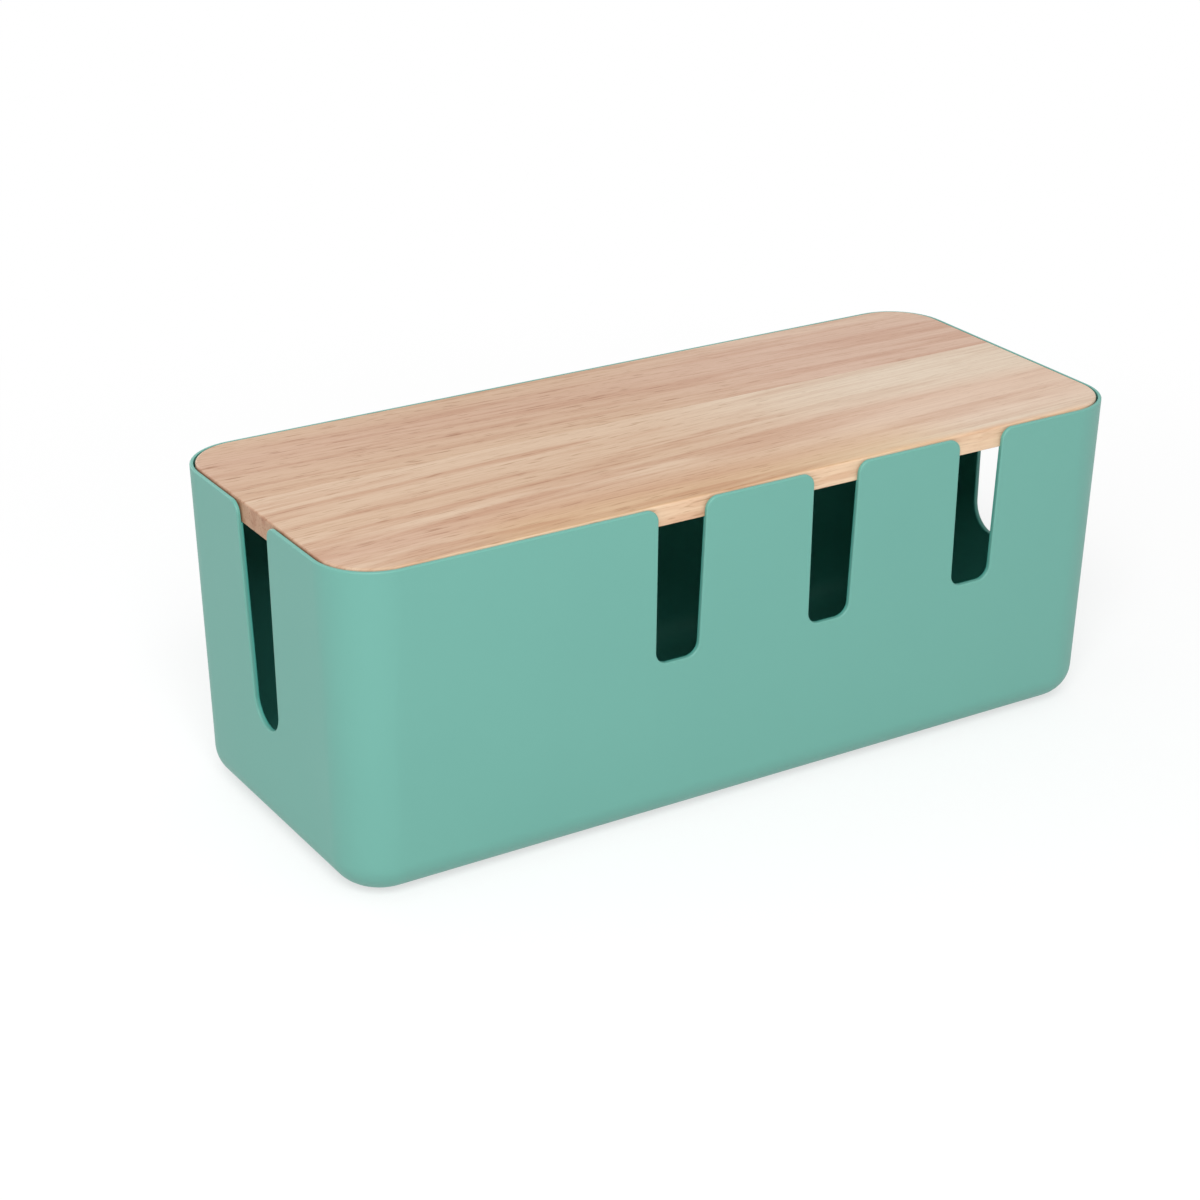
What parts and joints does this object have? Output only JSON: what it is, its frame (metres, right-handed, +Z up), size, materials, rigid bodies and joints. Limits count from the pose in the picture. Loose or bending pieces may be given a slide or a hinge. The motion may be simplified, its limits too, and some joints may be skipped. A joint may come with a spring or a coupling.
{
  "type": "cable management box",
  "caption": "Desktop box that hides a power strip and its leads: a moulded tub with cable slots in one long wall and both ends, and an inset lift-off wooden lid.",
  "frame": {"origin": "on the surface that the box stands on, below the middle of the tub", "axes": "+X along the box to the right, +Y from the wall with the row of slots towards the plain wall, +Z up"},
  "size_m": [0.305, 0.125, 0.1156],
  "materials": {
    "tub_plastic": "satin moulded plastic, sea green",
    "lid_wood": "smooth pale hardwood with a clear matt coat, grain along the box",
    "foot_rubber": "matt black"
  },
  "bodies": {
    "tub": {"tub": "tub_plastic", "foot_front_left": "foot_rubber", "foot_front_right": "foot_rubber", "foot_back_left": "foot_rubber", "foot_back_right": "foot_rubber"},
    "lid": {"lid_front_board": "lid_wood", "lid_back_board": "lid_wood"}
  },
  "joints": [
    {"name": "lid_lift", "type": "slide", "parent": "tub", "child": "lid", "axis": [0, 0, 1], "range_m": [0, 0.15]}
  ]
}
